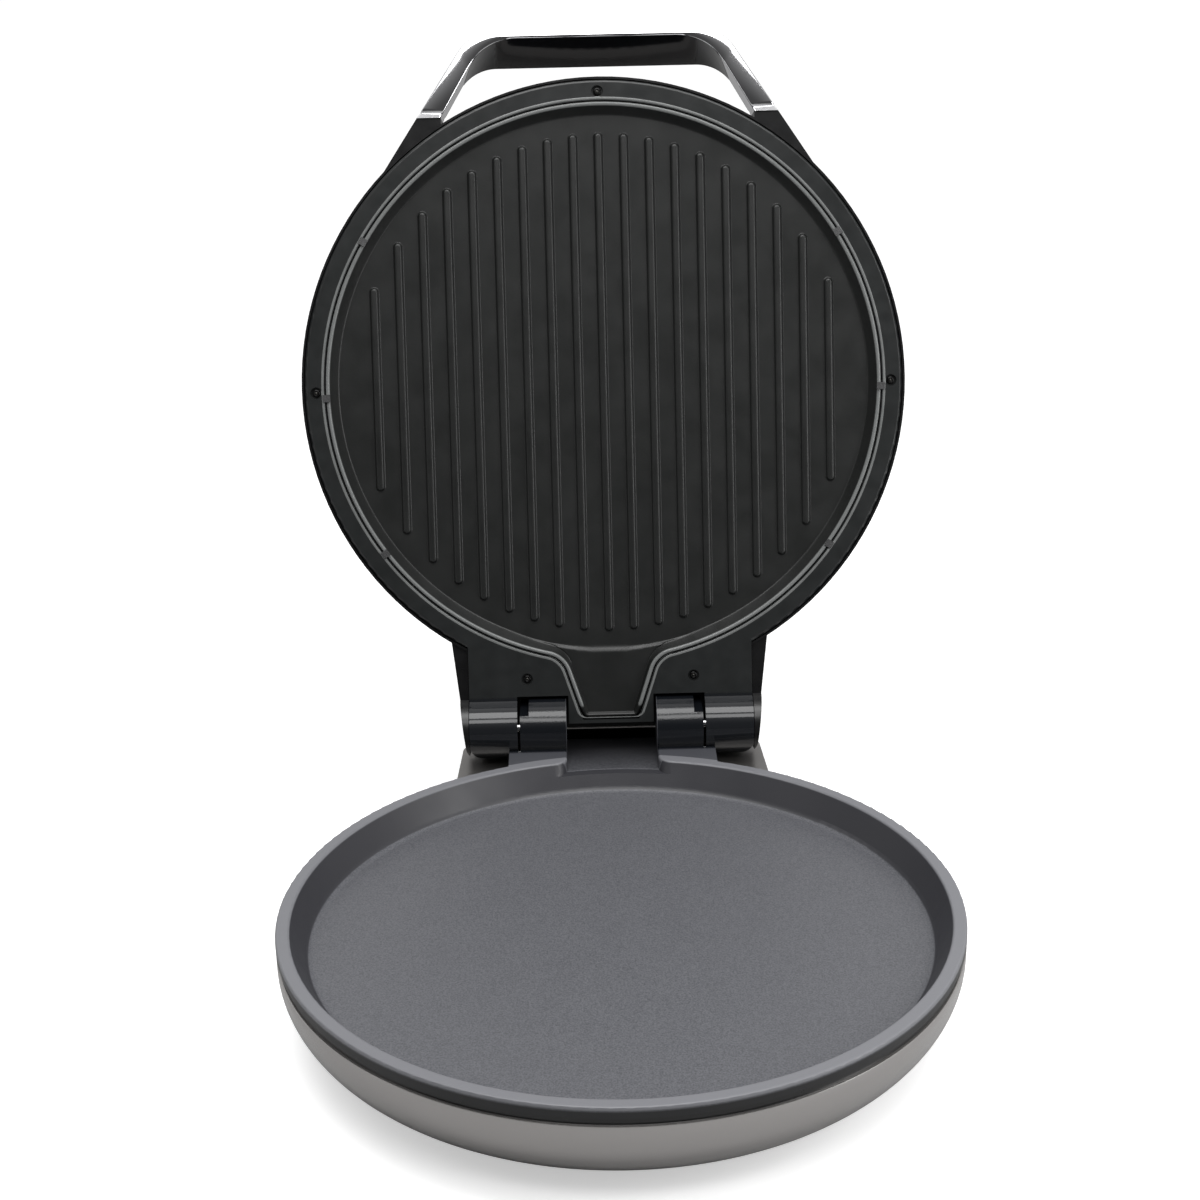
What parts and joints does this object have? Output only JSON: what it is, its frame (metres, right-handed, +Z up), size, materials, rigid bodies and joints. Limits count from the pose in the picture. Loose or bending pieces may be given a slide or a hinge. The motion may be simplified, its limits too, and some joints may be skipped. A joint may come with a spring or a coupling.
{
  "type": "panini press",
  "caption": "Round contact grill: a deep flat non-stick pan below, a ribbed plate in a hinged lid above, a looped chrome handle and a drain spout.",
  "frame": {"origin": "on the surface the press stands on, under the middle of the open press", "axes": "+Z up; X along the hinge; the pan's front edge towards -Y and the hinge towards +Y; at rest the lid is open"},
  "size_m": [0.336, 0.4891, 0.4357],
  "materials": {
    "pan_coating": "non-stick coated cast aluminium, fine satin speckle",
    "plate_coating": "non-stick coated cast aluminium, satin black",
    "bezel_black": "satin charcoal moulding",
    "frame_black": "black moulding, semi-gloss",
    "silver_shell": "warm silver metallic lacquer",
    "handle_chrome": "chrome-plated moulding",
    "grip_black": "piano black",
    "steel": "plain bright steel",
    "screw_steel": "blackened zinc",
    "heater_sheath": "oxidised steel sheath",
    "reflector_sheet": "bright rolled sheet",
    "ceramic": "white steatite",
    "thermostat_body": "phenolic cap with tin-plated blades",
    "rubber": "soft black rubber",
    "wire_sleeve": "woven glass sleeve",
    "lens_red": "translucent red",
    "lens_green": "translucent green"
  },
  "bodies": {
    "base": {"lower_pan": "pan_coating", "base_trim_ring": "frame_black", "base_shell": "silver_shell", "rear_housing": "silver_shell", "housing_floor": "frame_black", "rubber_feet": "rubber", "base_screws": "screw_steel", "cord_gland": "rubber", "hinge_pin_left": "steel", "hinge_pin_right": "steel", "lower_element": "heater_sheath", "lower_element_terminals": "ceramic", "lower_element_straps": "steel", "lower_strap_screws": "screw_steel", "lower_reflector": "reflector_sheet", "lower_thermostat": "thermostat_body", "lower_thermal_fuse": "thermostat_body", "terminal_block": "ceramic", "lower_wires": "wire_sleeve"},
    "lid": {"lid_bezel": "bezel_black", "bezel_screws": "screw_steel", "upper_plate": "plate_coating", "plate_clips": "steel", "lid_frame": "frame_black", "lid_dome": "silver_shell", "dome_screws": "screw_steel", "power_lamp_lens": "lens_red", "ready_lamp_lens": "lens_green", "lamp_holders": "ceramic", "handle_bar": "handle_chrome", "handle_grip": "grip_black", "handle_screws": "screw_steel", "upper_element": "heater_sheath", "upper_element_terminals": "ceramic", "upper_element_straps": "steel", "upper_strap_screws": "screw_steel", "upper_reflector": "reflector_sheet", "reflector_screws": "screw_steel", "upper_thermostat": "thermostat_body", "upper_thermal_fuse": "thermostat_body"}
  },
  "joints": [
    {"name": "lid_hinge", "type": "hinge", "parent": "base", "child": "lid", "pos_m": [0, 0.1158, 0.0667], "axis": [1, 0, 0], "range_deg": [0, 107]}
  ]
}
